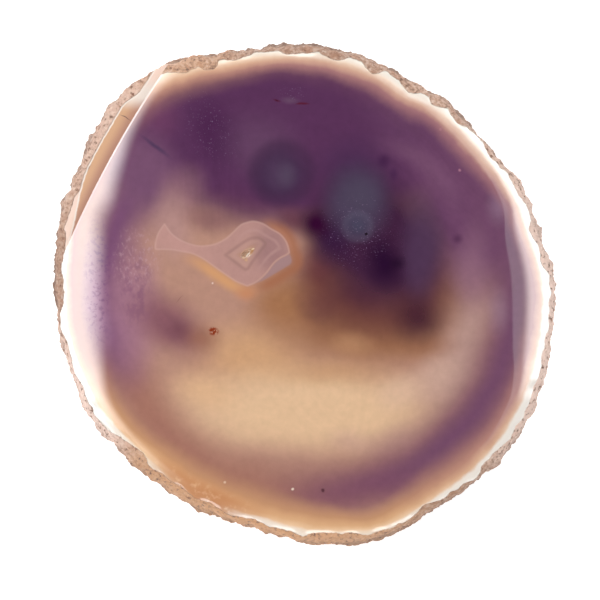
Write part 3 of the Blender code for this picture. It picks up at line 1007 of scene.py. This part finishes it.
# The cut's edge is made paler in the colour: a painted highlight, strongest towards its upper end.
cut_highlight = CUT_HIGHLIGHT_LEAST + CUT_HIGHLIGHT_RISE * along.rising(*CUT_HIGHLIGHT_ALONG)
colour = laid(colour, "painted highlight on the cut's edge", CUT_EDGE_HIGHLIGHT, past_cut.rising(*CUT_HIGHLIGHT_SIDE) * cut_highlight)
colour = colour.under(step_colour, on_step)
rind_on_step = (step_out - STRIP_CLEARANCE - rind_edge) * along.rising(*STRIP_START) * on_step
rind_here = rind_edge + rind_on_step

# The rind: grains of brown, tan and pinkish quartz, and painted shade darkening the lower part of its outer
# side
GRAIN = 0.42
CRUST_TONES = (
    (0.08, (118, 82, 64)), (0.34, (190, 148, 124)), (0.6, (222, 182, 158)), (0.85, (238, 212, 194)),
)
CRUST_PINK = (250, 220, 206)
CRUST_TAN = (226, 168, 118)
CRUST_ORANGE = (198, 134, 96)
CRUST_DULL = (150, 110, 86)
CRUST_PAINTED_SHADE = (106, 76, 60)

# A grain's tone: how much its own random colour and the patches that it lies in count, and what is taken off
GRAIN_SHARE = 0.5
PATCH_SHARE = 1.6
TONE_LOSS = 0.55
PALE_GRAINS = (0.1, 0.4)

# Painted shade low on the rind's side: where it fades out up the side, how strong it is, and how much pink
# and tan rind lack of it
LOW_SHADE_FADE = (0.7, 0.35)
LOW_SHADE_STRENGTH = 0.62
PINK_LOSS = 0.45
TAN_LOSS = 0.3
RIND_EDGE = (-0.08, 0.1)

cells = position.node("ShaderNodeTexVoronoi", {}, {"Vector": position, "Scale": 1.0 / GRAIN}, "Color")
cell = cells.node("ShaderNodeSeparateColor", {}, {0: cells})
tone = cell * GRAIN_SHARE + cloud(0.8, 5.0) * PATCH_SHARE - TONE_LOSS
pale_grains = tone.rising(*PALE_GRAINS)
pink_here, tan_here = holding("pink"), holding("tan")
side_height = holding("skin") + waver(0.8, 3.0, 0.5)
# Darker towards the foot of the rind's side: painted shade.
painted_low_shade = side_height.rising(*LOW_SHADE_FADE) * (LOW_SHADE_STRENGTH - PINK_LOSS * pink_here - TAN_LOSS * tan_here)
tones = [(share, tint(*look)) for share, look in CRUST_TONES]
crust = tone.node("ShaderNodeValToRGB", {"stops": tones}, {"Fac": tone}, "Color")
crust = layered(crust, (
    ("orange patches", CRUST_ORANGE, cloud(1.9, 2.0).rising(0.5, 0.7), 0.45),
    ("tan rind", CRUST_TAN, tan_here * pale_grains, 0.85),
    ("pink rind", CRUST_PINK, pink_here * pale_grains, 0.9),
    ("dull rind", CRUST_DULL, holding("dull"), 0.5),
    ("dark skin", CRUST_PAINTED_SHADE, painted_low_shade),
))
rind_mask = rind_here.rising(*RIND_EDGE)
colour = colour.under(crust, rind_mask)
tree.links.new(colour.socket, shader.inputs["Base Color"])

# The finish: a high polish, and a dull broken crust
POLISH_ROUGHNESS = 0.07
RIND_ROUGHNESS = 0.8
COAT_ROUGHNESS = 0.05
REFRACTION = 1.54
REFLECTION_LEVEL = 1.0
CRUST_BUMP = 0.4 * MM
CRUST_BUMP_STRENGTH = 0.9
CELL_BUMP_SHARE = 0.4
roughness = POLISH_ROUGHNESS + (RIND_ROUGHNESS - POLISH_ROUGHNESS) * rind_mask
tree.links.new(roughness.socket, shader.inputs["Roughness"])
tree.links.new((1 - rind_mask).socket, shader.inputs["Coat Weight"])
shader.inputs["Coat Roughness"].default_value = COAT_ROUGHNESS
shader.inputs["IOR"].default_value = REFRACTION
shader.inputs["Specular IOR Level"].default_value = REFLECTION_LEVEL
grain = (cloud(0.5, 4.0) + cell * CELL_BUMP_SHARE) * rind_mask
bump_inputs = {"Height": grain, "Strength": CRUST_BUMP_STRENGTH, "Distance": CRUST_BUMP}
tree.links.new(grain.node("ShaderNodeBump", {}, bump_inputs, "Normal").socket, shader.inputs["Normal"])
stone.data.materials.clear()
stone.data.materials.append(agate)
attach(stone, "root")
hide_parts("agate_slice")

# The sweep, the lamps and the camera
# A sheet of white card, four softboxes hung level over the table, and a long lens straight above.
FLOOR_SIZE = 4.0
CARD_COLOUR = (0.86, 0.86, 0.86, 1.0)
CARD_ROUGHNESS = 0.9
CARD_GLOW = 0.6
WHITE = (1.0, 1.0, 1.0, 1.0)
floor_form = bmesh.new()
bmesh.ops.create_grid(floor_form, x_segments=1, y_segments=1, size=FLOOR_SIZE / 2)
floor = new_thing("sweep", floor_form, Matrix.Identity(4))
card = bpy.data.materials.new("white_card")
card.use_nodes = True
card_shader = card.node_tree.nodes["Principled BSDF"]
card_shader.inputs["Base Color"].default_value = CARD_COLOUR
card_shader.inputs["Roughness"].default_value = CARD_ROUGHNESS
card_shader.inputs["Emission Color"].default_value = WHITE
card_shader.inputs["Emission Strength"].default_value = CARD_GLOW
floor.data.materials.append(card)

LAMP_HEIGHT = 0.6
EVEN = (-9.0, -8.0)


def softbox(name, sides, radiance, glow=1.0, glow_fade=EVEN, full_fade=EVEN, north_fade=EVEN):
    """A level softbox. Its sides, west, east, south and north, and its fades are tangents off the vertical.

    A fade says where the cloth is dark and where it is bright. Going east, a share of its light, the glow,
    follows the first fade and the rest the second. Going north, all of it follows the third.
    """
    west, east, south, north = sides
    lamp = bpy.data.lights.new(name, "AREA")
    lamp.shape = "RECTANGLE"
    lamp.size = (east - west) * LAMP_HEIGHT
    lamp.size_y = (north - south) * LAMP_HEIGHT
    lamp.energy = radiance * math.pi * lamp.size * lamp.size_y
    lamp.use_nodes = True
    emission = lamp.node_tree.nodes["Emission"]
    parametric = Flow(lamp.node_tree.nodes.new("ShaderNodeNewGeometry").outputs["Parametric"])
    place = parametric.node("ShaderNodeSeparateXYZ", {}, {0: parametric}, "X")
    eastward = west + place * (east - west)
    northward = south + Flow(place.socket.node.outputs["Y"]) * (north - south)
    light = glow * eastward.rising(*glow_fade) + (1 - glow) * eastward.rising(*full_fade)
    light = light * northward.rising(*north_fade)
    lamp.node_tree.links.new(light.socket, emission.inputs["Strength"])
    thing = bpy.data.objects.new(name, lamp)
    thing.location = ((west + east) / 2 * LAMP_HEIGHT, (south + north) / 2 * LAMP_HEIGHT, LAMP_HEIGHT)
    thing.visible_camera = False
    bpy.context.scene.collection.objects.link(thing)


softbox(
    "left_softbox", sides=(-1.6, -0.24, -0.8, 0.84), radiance=4.5,
    glow=0.0, full_fade=(-0.24, -0.74), north_fade=(-0.66, -0.22),
)
softbox(
    "right_softbox", sides=(0.2, 1.5, -0.4, 0.84), radiance=3.4,
    glow=0.2, glow_fade=(0.2, 0.27), full_fade=(0.46, 0.74), north_fade=(-0.36, -0.06),
)
softbox("front_softbox", sides=(-1.1, 1.1, -2.6, -0.85), radiance=2.5, north_fade=(-0.85, -1.2))
softbox("back_softbox", sides=(-1.1, 1.1, 0.85, 2.6), radiance=2.1, north_fade=(0.85, 1.2))

ROOM_LIGHT = 0.015
world = bpy.data.worlds.new("room")
bpy.context.scene.world = world
world.use_nodes = True
world.node_tree.nodes["Background"].inputs["Color"].default_value = WHITE
world.node_tree.nodes["Background"].inputs["Strength"].default_value = ROOM_LIGHT

CAMERA_HEIGHT = 1.0
CAMERA_ASIDE = (-0.000806, -0.001003)
VIEW_WIDTH = 0.10751
SENSOR_WIDTH = 36.0
camera_data = bpy.data.cameras.new("camera")
camera_data.sensor_width = SENSOR_WIDTH
camera_data.lens = SENSOR_WIDTH * CAMERA_HEIGHT / VIEW_WIDTH
camera = bpy.data.objects.new("camera", camera_data)
camera.location = (*CAMERA_ASIDE, CAMERA_HEIGHT + WAIST_HEIGHT)
bpy.context.scene.collection.objects.link(camera)
bpy.context.scene.camera = camera
bpy.context.scene.view_settings.view_transform = "Standard"
